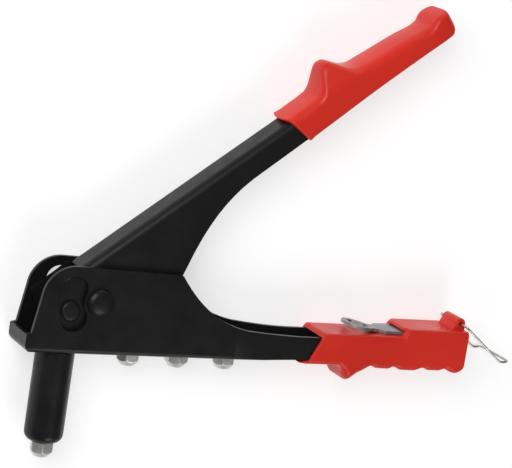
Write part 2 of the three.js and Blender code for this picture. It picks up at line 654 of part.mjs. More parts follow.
const caseNut = () =>
  cut(
    hexY(nut.flats, pull.bottom - gap - nut.height, pull.bottom - gap, barrel.x, 30),
    pinY(pull.nipple + gap, pull.bottom - 9, pull.bottom + 1, barrel.x, 24),
  );

const caseTop = pull.bottom - 2 * gap - nut.height;

function jawCaseBody() {
  const c = jawCase;
  return turned(
    [
      [c.neckBore, caseTop], [c.neck, caseTop], [c.neck, wideTop], [wideRadius, wideTop], [wideRadius, caseEnd],
      [c.coneNarrow, caseEnd], [c.coneWide, coneTop], [c.neckBore, coneTop + 1.5], [c.neckBore, caseTop],
    ],
    barrel.x,
    32,
  );
}

// One of the jaws: a sector of a cone that follows the jaw case's inner cone.
function jaw(i) {
  const c = jawCase;
  const radiusAt = (y) =>
    c.coneNarrow + ((c.coneWide - c.coneNarrow) * (y - caseEnd)) / c.coneLength - jaws.clearance;
  const cone = turned(
    [
      [jaws.bore, jawBottom], [radiusAt(jawBottom), jawBottom], [radiusAt(jawTop), jawTop],
      [jaws.bore, jawTop], [jaws.bore, jawBottom],
    ],
    0,
    36,
  );
  const half = Math.PI / jaws.count;
  const reach = 3 * c.coneWide;
  const inset = jaws.split / 2 / Math.sin(half);
  const wedge = polygon([
    [inset, 0],
    [inset + reach * Math.cos(half), -reach * Math.sin(half)],
    [inset + reach * 1.5, 0],
    [inset + reach * Math.cos(half), reach * Math.sin(half)],
  ]);
  const g = new THREE.ExtrudeGeometry(wedge, { depth: 40, bevelEnabled: false });
  g.rotateX(90 * deg).translate(0, jawTop + 10, 0).rotateY((i * 360 * deg) / jaws.count);
  return common(cone, solid(g)).translate([barrel.x, 0, 0]);
}

const jawPusher = () =>
  turned(
    [
      [pusher.bore, pusherTop], [pusher.radius, pusherTop], [pusher.radius, pusherBottom + 1],
      [pusher.radius - 1, pusherBottom], [pusher.bore, pusherBottom], [pusher.bore, pusherTop],
    ],
    barrel.x,
    24,
  );

const jawSpringCoil = () => {
  const room = jawSpring.wire + 0.3;
  const path = new Helix(jawSpring.radius, pusherTop + room, pull.nippleEnd - room, jawSpring.turns, barrel.x);
  return wire(path, jawSpring.wire, jawSpring.turns * 12, 6);
};

const returnCoil = () => {
  const room = returnSpring.wire + 0.3;
  const top = frame.base - gap - barrelCap - room;
  const path = new Helix(returnSpring.radius, wideTop + room, top, returnSpring.turns, barrel.x);
  return wire(path, returnSpring.wire, Math.round(returnSpring.turns * 16), 6);
};

// The scene: the tool's mid-plane stands midZ above the bench.
const tool = new THREE.Group();
tool.position.z = midZ;
const handle = new THREE.Group();
handle.rotation.z = lever.open * deg;
tool.add(handle);

tool.add(
  meshOf(lowerFrame(), "lower_frame", blackPaint),
  meshOf(noseBarrel(), "nose_barrel", blackPaint),
  meshOf(lockRing(), "barrel_lock_ring", steel),
  meshOf(nosepiece(barrel.x, barrel.end - gap, nose.height, nose.studLength, 1.7, 15), "nosepiece_fitted", nickel),
  meshOf(lowerGrip(), "lower_grip", redPlastic),
  meshOf(pivotRivet(), "pivot_rivet", blackPaint),
  meshOf(nosepieceWrench(), "nosepiece_wrench", stamped),
  meshOf(latchBail(), "latch_bail", steelWire),
  meshOf(pullHead(), "pull_head", steel),
  meshOf(caseNut(), "case_lock_nut", steel),
  meshOf(jawCaseBody(), "jaw_case", steel),
  meshOf(jawPusher(), "jaw_pusher", steel),
  meshOf(jawSpringCoil(), "jaw_spring", steelWire),
  meshOf(returnCoil(), "return_spring", steelWire),
);
spares.bores.forEach((bore, i) => {
  const x = spares.first + i * spares.pitch;
  const made = nosepiece(x, frame.base - gap, nose.spareHeight, nose.spareStud, bore, spares.turns[i]);
  tool.add(meshOf(made, `nosepiece_spare_${i + 1}`, nickel));
});
for (let i = 0; i < jaws.count; i++) tool.add(meshOf(jaw(i), `jaw_${i + 1}`, steel));
handle.add(
  meshOf(upperHandle(), "upper_handle", blackPaint),
  meshOf(upperGripBody(), "upper_grip", redPlastic),
  meshOf(trunnion(1), "trunnion_pin_near", blackPaint),
  meshOf(trunnion(-1), "trunnion_pin_far", blackPaint),
  meshOf(pivotSleeve(), "pivot_sleeve", steel),
);

const riveter = new THREE.Group();
riveter.add(tool);
export default riveter;
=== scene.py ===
import bpy
import numpy as np
from mathutils import Matrix, Vector


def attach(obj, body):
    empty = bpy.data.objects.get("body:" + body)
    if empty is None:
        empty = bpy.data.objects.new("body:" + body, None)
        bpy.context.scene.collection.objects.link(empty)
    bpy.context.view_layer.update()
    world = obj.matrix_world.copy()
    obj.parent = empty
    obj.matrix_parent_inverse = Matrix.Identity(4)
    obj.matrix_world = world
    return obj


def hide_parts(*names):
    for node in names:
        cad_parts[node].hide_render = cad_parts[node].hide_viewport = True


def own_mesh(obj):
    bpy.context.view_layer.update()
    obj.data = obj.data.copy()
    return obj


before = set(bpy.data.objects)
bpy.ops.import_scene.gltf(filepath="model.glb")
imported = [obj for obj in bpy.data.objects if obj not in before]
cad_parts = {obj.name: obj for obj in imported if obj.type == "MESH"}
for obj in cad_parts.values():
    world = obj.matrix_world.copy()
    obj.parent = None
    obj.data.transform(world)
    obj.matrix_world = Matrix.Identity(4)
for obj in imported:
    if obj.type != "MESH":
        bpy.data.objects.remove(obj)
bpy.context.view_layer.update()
print("frame loaded")

tool = {"midZ": 17.5, "open": 39.75}


# camera, light and floor come first
view = {
    "place": (-533.3, 319.1, 1275.7),
    "right": (0.8975, 0.1535, 0.4135),
    "back": (-0.4377, 0.1942, 0.8779),
    "lens": 178.7,
}


def makeCamera():
    right = Vector(view["right"]).normalized()
    back = Vector(view["back"])
    back = (back - back.dot(right) * right).normalized()
    up = back.cross(right)
    turn = Matrix((right, up, back)).transposed().to_4x4()
    data = bpy.data.cameras.new("bench_camera")
    data.sensor_fit = "HORIZONTAL"
    data.sensor_width = 36
    data.lens = view["lens"]
    data.clip_end = 20
    camera = bpy.data.objects.new("bench_camera", data)
    camera.matrix_world = Matrix.Translation(Vector(view["place"]) / 1000) @ turn
    bpy.context.collection.objects.link(camera)
    bpy.context.scene.camera = camera


studio = {
    "key": {"from": (-0.75, 0.55, 0.95), "size": 1.1, "watts": 17.0, "distance": 1.6},
    "top": {"from": (0.15, 1.0, 0.12), "size": 0.7, "watts": 2.6, "distance": 1.3},
    "side": {"from": (0.2, -0.8, 0.75), "size": 0.9, "watts": 8.0, "distance": 1.5},
    "world": 0.2,
    "floorGlow": 0.6,
    "floorPaint": 0.5,
}


def makeLight(name):
    size = studio[name]
    aim = Vector((0.09, 0.03, 0.017))
    away = Vector(size["from"]).normalized()
    data = bpy.data.lights.new("light_" + name, "AREA")
    data.shape = "DISK"
    data.size = size["size"]
    data.energy = size["watts"]
    lamp = bpy.data.objects.new("light_" + name, data)
    turn = away.to_track_quat("Z", "Y").to_matrix().to_4x4()
    lamp.matrix_world = Matrix.Translation(aim + away * size["distance"]) @ turn
    bpy.context.collection.objects.link(lamp)


def makeStudio():
    for name in ("key", "top", "side"):
        makeLight(name)
    world = bpy.data.worlds.new("studio")
    world.use_nodes = True
    glow = world.node_tree.nodes["Background"]
    glow.inputs["Color"].default_value = (1, 1, 1, 1)
    glow.inputs["Strength"].default_value = studio["world"]
    bpy.context.scene.world = world
    bpy.context.scene.view_settings.view_transform = "Standard"
    half = 6.0
    mesh = bpy.data.meshes.new("floor")
    corners = [(-half, -half, 0), (half, -half, 0), (half, half, 0), (-half, half, 0)]
    mesh.from_pydata(corners, [], [(0, 1, 2, 3)])
    floor = bpy.data.objects.new("floor", mesh)
    bpy.context.collection.objects.link(floor)
    pale = bpy.data.materials.new("pale_floor")
    pale.use_nodes = True
    shader = pale.node_tree.nodes["Principled BSDF"]
    shader.inputs["Base Color"].default_value = (studio["floorPaint"],) * 3 + (1,)
    shader.inputs["Roughness"].default_value = 1.0
    shader.inputs["Specular IOR Level"].default_value = 0.0
    shader.inputs["Emission Color"].default_value = (1, 1, 1, 1)
    shader.inputs["Emission Strength"].default_value = studio["floorGlow"]
    mesh.materials.append(pale)


makeCamera()
makeStudio()
print("camera and studio set")


# materials
class Maker:
    # a material's node tree, with short calls to add to it
    def __init__(self, name, colour, roughness, metallic=0.0):
        self.material = bpy.data.materials.new(name)
        self.material.use_nodes = True
        self.tree = self.material.node_tree
        self.shader = self.tree.nodes["Principled BSDF"]
        self.shader.inputs["Base Color"].default_value = (*colour, 1)
        self.shader.inputs["Roughness"].default_value = roughness
        self.shader.inputs["Metallic"].default_value = metallic
        self.place = self.tree.nodes.new("ShaderNodeTexCoord").outputs["Object"]
        self.height = None

    def link(self, out, into):
        self.tree.links.new(out, into)

    def stretched(self, scale, turn=(0, 0, 0)):
        node = self.tree.nodes.new("ShaderNodeMapping")
        node.inputs["Scale"].default_value = scale
        node.inputs["Rotation"].default_value = turn
        self.link(self.place, node.inputs["Vector"])
        return node.outputs["Vector"]

    def noise(self, scale, detail=2.0, rough=0.5, vector=None):
        node = self.tree.nodes.new("ShaderNodeTexNoise")
        node.inputs["Scale"].default_value = scale
        node.inputs["Detail"].default_value = detail
        node.inputs["Roughness"].default_value = rough
        self.link(vector if vector is not None else self.place, node.inputs["Vector"])
        return node.outputs["Fac"]

    def between(self, value, low, high, outLow, outHigh):
        node = self.tree.nodes.new("ShaderNodeMapRange")
        for name, number in (("From Min", low), ("From Max", high), ("To Min", outLow), ("To Max", outHigh)):
            node.inputs[name].default_value = number
        self.link(value, node.inputs["Value"])
        return node.outputs["Result"]

    def mixColour(self, value, first, second):
        node = self.tree.nodes.new("ShaderNodeMix")
        node.data_type = "RGBA"
        self.link(value, node.inputs["Factor"])
        node.inputs["A"].default_value = (*first, 1)
        node.inputs["B"].default_value = (*second, 1)
        return node.outputs["Result"]

    def tones(self, value, low, high, first, second):
        share = self.between(value, low, high, 0, 1)
        self.link(self.mixColour(share, first, second), self.shader.inputs["Base Color"])

    def bump(self, value, strength, distance):
        node = self.tree.nodes.new("ShaderNodeBump")
        node.inputs["Strength"].default_value = strength
        node.inputs["Distance"].default_value = distance
        self.link(value, node.inputs["Height"])
        if self.height is not None:
            self.link(self.height, node.inputs["Normal"])
        self.height = node.outputs["Normal"]
        self.link(self.height, self.shader.inputs["Normal"])


paint = {"colour": (0.0056, 0.0056, 0.006), "worn": (0.009, 0.009, 0.0095), "grain": 1500, "peel": 260}


def blackPaint():
    m = Maker("black_paint", paint["colour"], 0.36)
    cloud = m.noise(26, 3)
    m.tones(cloud, 0.35, 0.7, paint["colour"], paint["worn"])
    m.link(m.between(m.noise(90, 4), 0.3, 0.7, 0.3, 0.44), m.shader.inputs["Roughness"])
    m.shader.inputs["Specular IOR Level"].default_value = 0.22
    m.bump(m.noise(paint["peel"], 2), 0.10, 0.0006)
    m.bump(m.noise(paint["grain"], 3, 0.6), 0.16, 0.00012)
    return m.material


plastic = {"colour": (0.68, 0.031, 0.0175), "deep": (0.58, 0.0235, 0.0135), "grain": 900}


def redPlastic():
    m = Maker("red_plastic", plastic["colour"], 0.3)
    cloud = m.noise(18, 3)
    m.tones(cloud, 0.3, 0.75, plastic["colour"], plastic["deep"])
    m.link(m.between(m.noise(60, 4), 0.3, 0.7, 0.26, 0.38), m.shader.inputs["Roughness"])
    m.shader.inputs["Specular IOR Level"].default_value = 0.2
    m.shader.inputs["Subsurface Weight"].default_value = 0.06
    m.shader.inputs["Subsurface Radius"].default_value = (0.0024, 0.0006, 0.0004)
    m.bump(m.noise(150, 2), 0.08, 0.0008)
    m.bump(m.noise(plastic["grain"], 3, 0.6), 0.12, 0.00015)
    return m.material


def nickel():
    m = Maker("nickel", (0.5, 0.49, 0.47), 0.36, 1.0)
    cloud = m.noise(140, 4)
    m.tones(cloud, 0.3, 0.7, (0.68, 0.67, 0.645), (0.5, 0.49, 0.465))
    m.link(m.between(m.noise(320, 3), 0.3, 0.7, 0.3, 0.46), m.shader.inputs["Roughness"])
    m.bump(m.noise(420, 3, 0.6, m.stretched((1, 9, 1))), 0.14, 0.00012)
    return m.material


def stampedSteel():
    m = Maker("stamped_steel", (0.26, 0.26, 0.27), 0.46, 0.85)
    cloud = m.noise(110, 4)
    m.tones(cloud, 0.3, 0.7, (0.42, 0.42, 0.43), (0.26, 0.26, 0.27))
    m.link(m.between(m.noise(500, 4), 0.3, 0.7, 0.38, 0.58), m.shader.inputs["Roughness"])
    m.bump(m.noise(900, 4, 0.7, m.stretched((1, 1, 6))), 0.35, 0.00016)
    m.bump(m.noise(2600, 2), 0.3, 0.00008)
    return m.material


def springWire():
    m = Maker("spring_wire", (0.5, 0.49, 0.46), 0.3, 1.0)
    cloud = m.noise(260, 3)
    m.tones(cloud, 0.35, 0.7, (0.58, 0.57, 0.54), (0.36, 0.35, 0.33))
    m.link(m.between(m.noise(700, 3), 0.3, 0.7, 0.24, 0.42), m.shader.inputs["Roughness"])
    m.bump(m.noise(1800, 2), 0.15, 0.00006)
    return m.material


def innerSteel():
    m = Maker("inner_steel", (0.16, 0.155, 0.15), 0.4, 0.9)
    cloud = m.noise(120, 4)
    m.tones(cloud, 0.3, 0.7, (0.2, 0.195, 0.19), (0.1, 0.095, 0.09))
    m.link(m.between(m.noise(300, 3), 0.3, 0.7, 0.32, 0.5), m.shader.inputs["Roughness"])
    m.bump(m.noise(700, 3, 0.6, m.stretched((1, 8, 1))), 0.2, 0.0001)
    return m.material


finish = {
    "black_paint": blackPaint(),
    "red_plastic": redPlastic(),
    "nickel": nickel(),
    "stamped_steel": stampedSteel(),
    "spring_wire": springWire(),
    "inner_steel": innerSteel(),
}
print("materials made")


# surface tools
def through(x, knots):
    # a smooth curve through (x, y) knots: cubic pieces whose slopes are the harmonic mean of the
    # neighbours', and flat at a turn
    kx, ky = np.array(knots, float).T
    step = np.diff(ky) / np.diff(kx)
    both = step[1:] * step[:-1]
    inner = np.where(both > 0, 2 * step[1:] * step[:-1] / (step[1:] + step[:-1] + 1e-12), 0)
    slope = np.concatenate(([step[0]], inner, [step[-1]]))
    i = np.clip(np.searchsorted(kx, x) - 1, 0, len(kx) - 2)
    w = kx[i + 1] - kx[i]
    u = np.clip((x - kx[i]) / w, 0, 1)
    return (
        (1 + 2 * u) * (1 - u) ** 2 * ky[i] + u * (1 - u) ** 2 * w * slope[i]
        + u**2 * (3 - 2 * u) * ky[i + 1] + u**2 * (u - 1) * w * slope[i + 1]
    )


def ease(x, low, high):
    u = np.clip((x - low) / (high - low), 0, 1)
    return u * u * (3 - 2 * u)


def roundedSection(half, low, high, lowRound, highRound, corner=8, side=6, top=14):
    # sections in (z, y), one row a station: a box with round corners, walked from the middle of the underside
    # across to +z, up, over the top and back. Each argument is a number or one value a station.
    given = (half, low, high, lowRound, highRound)
    n = max(np.size(v) for v in given)
    half, low, high, lowRound, highRound = (np.broadcast_to(np.asarray(v, float), n)[:, None] for v in given)
    a = np.linspace(0, np.pi / 2, corner)[None, :]
    f = np.linspace(0, 1, side)[None, 1:-1]
    g = np.linspace(0, 1, top)[None, 1:-1]
    # the underside's flats are spread from the middle to each corner
    g2 = np.linspace(0, 1, top // 2 + 1)[None, :-1]
    rows = [
        ((half - lowRound) * g2, low + 0 * g2),
        (half - lowRound + lowRound * np.sin(a), low + lowRound - lowRound * np.cos(a)),
        (half + 0 * f, (low + lowRound) * (1 - f) + (high - highRound) * f),
        (half - highRound + highRound * np.cos(a), high - highRound + highRound * np.sin(a)),
        ((half - highRound) * (1 - 2 * g), high + 0 * g),
        (-half + highRound - highRound * np.sin(a), high - highRound + highRound * np.cos(a)),
        (-half + 0 * f, (high - highRound) * (1 - f) + (low + lowRound) * f),
        (-half + lowRound - lowRound * np.cos(a), low + lowRound - lowRound * np.sin(a)),
        (-(half - lowRound) * (1 - g2[:, 1:]), low + 0 * g2[:, 1:]),
    ]
    z = np.concatenate([r[0] + 0 * half for r in rows], axis=1)
    y = np.concatenate([r[1] + 0 * half for r in rows], axis=1)
    return z, y


def gridPiece(name, points, around=True, along=False, capFirst=False, capLast=False, smooth=38, flip=False):
    # points is (stations, section, 3) in millimetres: neighbours are joined by quads, and an end is
    # closed by a fan
    n, m, _ = points.shape
    v = points.reshape(-1, 3)
    i = np.arange(n if along else n - 1)[:, None]
    j = np.arange(m if around else m - 1)[None, :]
    i2, j2 = (i + 1) % n, (j + 1) % m
    faces = np.stack([i * m + j + 0 * i, i * m + j2, i2 * m + j2, i2 * m + j], axis=-1).reshape(-1, 4)
    if flip:
        faces = faces[:, ::-1]
    faces = faces.tolist()
    extra = []
    for cap, row in ((capFirst, 0), (capLast, n - 1)):
        if cap:
            ring = np.arange(m) + row * m
            middle = len(v) + len(extra)
            extra.append(points[row].mean(axis=0))
            fan = np.stack([ring, np.roll(ring, -1), np.full(m, middle)], axis=-1)
            if (row == 0) != flip:
                fan = fan[:, ::-1]
            faces += fan.tolist()
    if extra:
        v = np.concatenate([v, np.array(extra)])
    return meshPiece(name, v, faces, smooth)


def meshPiece(name, vertices, faces, smooth=38):
    mesh = bpy.data.meshes.new(name)
    mesh.from_pydata((np.asarray(vertices) / 1000).tolist(), [], faces)
    mesh.validate()
    # a closed surface whose signed volume is below zero faces inwards, so it is turned round
    mesh.calc_loop_triangles()
    corner = np.empty(len(mesh.loop_triangles) * 3, int)
    mesh.loop_triangles.foreach_get("vertices", corner)
    a, b, c = np.asarray(vertices, float)[corner.reshape(-1, 3)].transpose(1, 0, 2)
    if np.einsum("ij,ij->", a - a.mean(axis=0), np.cross(b - a.mean(axis=0), c - a.mean(axis=0))) < 0:
        mesh.flip_normals()
    mesh.polygons.foreach_set("use_smooth", np.ones(len(mesh.polygons), bool))
    mesh.set_sharp_from_angle(angle=np.radians(smooth))
    mesh.update()
    piece = bpy.data.objects.new(name, mesh)
    bpy.context.collection.objects.link(piece)
    return piece


def settle(piece, look, body, *nodes):
    piece.data.materials.append(finish[look])
    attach(piece, body)
    if nodes:
        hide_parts(*nodes)
    return piece


def openHandle(t, n, z):
    # handle coordinates (along it, off it, across) turned open about the pivot, into x, y, z
    a = np.radians(tool["open"])
    t, n, z = np.broadcast_arrays(t, n, z)
    return np.stack([t * np.cos(a) - n * np.sin(a), t * np.sin(a) + n * np.cos(a), z + tool["midZ"]], axis=-1)


def straight(x, y, z):
    x, y, z = np.broadcast_arrays(x, y, z)
    return np.stack([x, y, z + tool["midZ"]], axis=-1)


# upper grip
upper = {
    "front": 144.5, "slant": 5.0, "end": 258.0, "half": 13.2, "base": 3.9, "face": 21.5,
    "bottom": [(144, 3.9), (165, 4.2), (200, 4.7), (235, 4.4), (248, 4.1), (258, 4.6)],
    "top": [
        (144, 21.4), (160, 21.4), (165.5, 21.8), (169, 23.2), (172, 26.2), (174.5, 29.6), (177, 32.8),
        (179.4, 34.2), (182.2, 33.9), (185.5, 31.0), (189, 26.9), (192.5, 23.6), (196.5, 21.8), (203, 20.9),
        (211, 20.2), (230, 18.5), (241, 16.9), (245, 16.8), (248, 18.0), (250.5, 18.9), (258, 18.7),
    ],
    "topRound": [
        (144, 4.6), (165, 4.6), (176, 3.4), (184, 3.4), (197, 4.6), (240, 5.0), (250, 3.4), (258, 3.2),
    ],
    "lowRound": 2.2,
    "crown": [(144, 0.7), (166, 0.7), (178, 0.9), (188, 0.9), (200, 1.1), (240, 1.1), (250, 0.3), (258, 0.3)],
    "lug": {"from": 19.0, "top": 34.3, "narrow": 0.52},
    "endPlan": 5.4, "endSide": 3.6, "endDrop": 0.9, "mouth": 0.8, "bead": 0.35, "nose": 1.6,
    "tangEnd": 239.5,
    "lever": {
        "half": 11.0, "low": 4.4, "round": 5.0, "top": 21.5, "fall": 0.0175, "tangLow": 7.7, "tangHigh": 15.3,
    },
}


def makeUpperGrip():
    # outside: a round-cornered section carried along the handle, its top following a smooth curve that
    # rises into the thumb lug; the last stations shrink by a quarter circle into the end
    u = upper
    flat = np.concatenate([
        np.linspace(u["front"] + u["mouth"], 164, 12)[:-1],
        np.linspace(164, 208, 56)[:-1],
        np.linspace(208, u["end"] - u["endPlan"], 26),
    ])
    q = np.linspace(0, np.pi / 2, 14)[1:]
    t = np.concatenate([flat, u["end"] - u["endPlan"] + u["endPlan"] * np.sin(q)])
    turnIn = np.concatenate([0 * flat, 1 - np.cos(q)])
    half = u["half"] - u["endPlan"] * turnIn
    high = through(t, u["top"]) - u["endDrop"] * turnIn**2
    low = through(t, u["bottom"]) + u["endSide"] * turnIn
    highRound = np.minimum(through(t, u["topRound"]), half * 0.9)
    lowRound = np.minimum(u["lowRound"] + 2 * turnIn, half * 0.8)
    # mouth: the first stations roll in by a quarter circle, behind a slight bead
    r = np.linspace(0, np.pi / 2, 6)[:-1]
    t = np.concatenate([u["front"] + u["mouth"] * (1 - np.cos(r)), t])
    bead = u["bead"] * (1 - ease(t, u["front"] + 1.2, u["front"] + 3.4))
    pull = np.concatenate([u["mouth"] * (1 - np.sin(r)), 0 * t[5:]]) - bead
    half = np.concatenate([np.full(5, u["half"]), half]) - pull
    high = np.concatenate([through(np.full(5, u["front"]), u["top"]), high]) - pull
    low = np.concatenate([through(np.full(5, u["front"]), u["bottom"]), low]) + pull
    highRound = np.concatenate([np.full(5, u["topRound"][0][1]), highRound])
    lowRound = np.concatenate([np.full(5, u["lowRound"]), lowRound])
    z, n = roundedSection(half, low, high, lowRound, highRound, corner=9, side=12, top=17)
    tt = t[:, None] + 0 * z
    # crown: the top drops with the square of the distance from the middle
    up = ease(n, 9, 16)
    n = n - up * through(np.clip(tt, 144, 258), u["crown"]) * (z / u["half"]) ** 2
    # the lug narrows steadily towards its top
    k = u["lug"]
    climb = np.clip((n - k["from"]) / (k["top"] - k["from"]), 0, 1.1) ** 1.15
    z = z * (1 - k["narrow"] * climb * ease(tt, 162, 168) * (1 - ease(tt, 196, 204)))

    def slant(tt, n, z):
        # the front is cut back towards the palm, and its top reaches forward in the middle
        lean = 1 - ease(tt, u["front"] + 2, u["front"] + 16)
        down = np.clip((u["face"] - n) / (u["face"] - u["base"]), 0, 1.1)
        forward = u["nose"] * ease(n, 17, 20.5) * np.clip(1 - (z / 10) ** 2, 0, 1)
        return tt + lean * (u["slant"] * down - forward)

    outside = openHandle(slant(tt, n, z), n, z)
    # inside: the lever's own section, from the mouth to past the end of its tang
    k = u["lever"]
    reach = u["tangEnd"] - u["front"]
    depth = np.array([0, 5, 9, 16.5, 17, reach - 8, reach]) + u["front"]
    tang = np.array([0, 0, 1, 1, 1, 1, 1])
    deep = np.array([0, 0, 0, 0, 1, 1, 1])
    inHigh = np.where(deep, k["tangHigh"], k["top"] - k["fall"] * depth)
    inLow = np.where(tang, k["tangLow"], k["low"])
    inRound = np.where(deep, 1.0, k["round"])
    zi, ni = roundedSection(k["half"], inLow, inHigh, 0.4, inRound, corner=9, side=12, top=17)
    inside = openHandle(slant(depth[:, None] + 0 * zi, ni, zi), ni, zi)[::-1]
    shell = np.concatenate([inside, outside])
    return gridPiece("thumb_lug_grip", shell, capFirst=True, capLast=True, smooth=50)


settle(makeUpperGrip(), "red_plastic", "handle", "upper_grip")
print("upper grip made")


# lower grip
lower = {
    "half": 14.0, "end": 236.4, "frontTop": 142.2, "frontBottom": 133.2, "mouth": 0.8, "tongue": 3.8,
    "top": [
        (130, -12.3), (192.6, -12.3), (193.4, -11.9), (195.0, -9.6), (196.4, -8.1), (197.6, -7.7),
        (236.4, -7.7),
    ],
    "bottom": [
        (130, -30.8), (153.4, -30.8), (155.4, -32.6), (157.8, -37.4), (159.4, -39.7), (161.2, -40.3),
        (163.2, -39.3), (167, -36.2), (173.0, -31.2), (174.8, -30.7), (178.6, -31.8), (185.8, -32.0),
        (189.5, -30.7), (195, -32.4), (203, -32.5), (209.2, -30.8), (213.5, -32.0), (219.6, -32.0),
        (224.0, -30.9), (228.0, -32.6), (231.2, -33.2), (234.0, -32.4), (236.4, -30.4),
    ],
    "topRound": 2.4, "lowRound": 2.8, "keelRound": 7.0, "hood": 2.4,
    "tang": {"half": 12.25, "low": -28.95, "high": -14.85, "end": 206.5},
    "pocket": {"half": 9.2, "low": -12.35, "high": -9.85, "from": 189.0, "to": 229.0},
    "recess": {"x": 172.0, "reachX": 9.5, "reachZ": 9.6, "depth": 1.0},
}


def cutAway(piece, *cutters):
    # boolean cuts, applied at once so that only the finished mesh is left
    for cutter in cutters:
        cut = piece.modifiers.new("cut", "BOOLEAN")
        cut.operation = "DIFFERENCE"
        cut.solver = "MANIFOLD"
        cut.object = cutter
    bpy.context.view_layer.update()
    done = bpy.data.meshes.new_from_object(piece.evaluated_get(bpy.context.evaluated_depsgraph_get()))
    piece.modifiers.clear()
    piece.data = done
    for cutter in cutters:
        bpy.data.objects.remove(cutter)
    done.materials.clear()
    done.polygons.foreach_set("material_index", np.zeros(len(done.polygons), np.int32))
    done.polygons.foreach_set("use_smooth", np.ones(len(done.polygons), bool))
    done.set_sharp_from_angle(angle=np.radians(40))
    return piece


def roundedBlock(name, x, y, z, radius):
    # a box with round edges along x, as a section carried between two stations
    half = np.full(2, (z[1] - z[0]) / 2)
    zz, yy = roundedSection(half, y[0], y[1], radius, radius, corner=6, side=3, top=4)
    points = straight(np.array(x)[:, None] + 0 * zz, yy, zz + (z[0] + z[1]) / 2)
    return gridPiece(name, points, capFirst=True, capLast=True)


def makeLowerGrip():
    # the same kind of surface: a round-cornered section along the tang, its top stepping up over the
    # wrench's pocket and its underside following the finger stop, the scallops and the heel
    g = lower
    x = np.concatenate([
        np.linspace(g["frontTop"], 151, 8)[:-1],
        np.linspace(151, 178, 62)[:-1],
        np.linspace(178, 192, 20)[:-1],
        np.linspace(192, 198.4, 30)[:-1],
        np.linspace(198.4, 235.4, 60),
    ])
    high = through(x, g["top"])
    low = through(x, g["bottom"])
    keel = ease(-low, 31.5, 37.5) * (x < 176)
    lowRound = g["lowRound"] + (g["keelRound"] - g["lowRound"]) * keel
    highRound = np.full(x.size, g["topRound"])
    half = np.full(x.size, g["half"])
    # end: the last stations roll in by a quarter circle, and the mouth's first ones do too
    q = np.linspace(0, np.pi / 2, 7)[1:]
    roll = 1.6 * (1 - np.cos(q))
    x = np.concatenate([x, g["end"] - 1.0 + 1.0 * np.sin(q)])
    half = np.concatenate([half, g["half"] - roll])
    high = np.concatenate([high, g["top"][-1][1] - roll])
    low = np.concatenate([low, through(g["end"] - 1.0 + 1.0 * np.sin(q), g["bottom"]) + roll])
    lowRound = np.concatenate([lowRound, np.full(q.size, g["lowRound"])])
    highRound = np.concatenate([highRound, np.full(q.size, g["topRound"])])
    r = np.linspace(0, np.pi / 2, 6)[:-1]
    pull = g["mouth"] * (1 - np.sin(r))
    x = np.concatenate([g["frontTop"] - g["mouth"] * np.cos(r), x])
    half = np.concatenate([g["half"] - pull, half])
    high = np.concatenate([g["top"][0][1] - pull, high])
    low = np.concatenate([g["bottom"][0][1] + pull, low])
    lowRound = np.concatenate([np.full(5, g["lowRound"]), lowRound])
    highRound = np.concatenate([np.full(5, g["topRound"]), highRound])
    z, y = roundedSection(half, low, high, lowRound, highRound, corner=9, side=9, top=25)
    xx = x[:, None] + 0 * z
    # slanted front: lower points lie further forward, and the underside forms a short tongue

    def slant(xx, y, z):
        down = np.clip((-12.3 - y) / 18.5, 0, 1)
        lean = 1 - ease(xx, g["frontTop"], g["frontTop"] + 9)
        tongue = ease(down, 0.88, 1.0) * (1 - ease(np.abs(z), 9.5, 12.5))
        return xx + lean * ((g["frontBottom"] - g["frontTop"]) * down - g["tongue"] * tongue)

    # finger recess: a shallow oval bowl in the top under the wrench's ring
    b = g["recess"]
    oval = ((xx - b["x"]) / b["reachX"]) ** 2 + (z / b["reachZ"]) ** 2
    onTop = ease(y, -13.2, -12.4)
    y = y - onTop * b["depth"] * np.clip(1 - oval, 0, 1) ** 0.8 * (xx < 192)
    # hood: over the pocket the raised part's front edge reaches forward
    overPocket = (1 - ease(np.abs(z), 8.6, 11.2)) * (1 - ease(np.abs(xx - 195.6), 1.6, 5.0))
    xx = xx - g["hood"] * ease(y, -10.4, -8.7) * overPocket
    outside = straight(slant(xx, y, z), y, z)
    k = g["tang"]
    depth = np.array([g["frontTop"] - g["mouth"], g["frontTop"] + 6, k["end"] - 6, k["end"]])
    zi, yi = roundedSection(np.full(4, k["half"]), k["low"], k["high"], 0.5, 0.5, corner=9, side=9, top=25)
    xi = depth[:, None] + 0 * zi
    xi = slant(xi, yi, zi * 0 + 20)
    inside = straight(xi, yi, zi)[::-1]
    grip = gridPiece("heel_grip", np.concatenate([inside, outside]), capFirst=True, capLast=True, smooth=50)
    p = g["pocket"]
    across = (-p["half"], p["half"])
    pocket = roundedBlock("pocket_cutter", (p["from"], p["to"]), (p["low"], p["high"]), across, 0.5)
    return cutAway(grip, pocket)


settle(makeLowerGrip(), "red_plastic", "frame", "lower_grip")
print("lower grip made")


ear = {
    "x": 231.8, "y": -4.0, "radius": 3.3, "half": 8.8, "bore": 1.25,
    "foot": -8.4, "lead": 1.6, "roll": 0.8,  # the feet's level, how far they spread, rounding of the ends
}


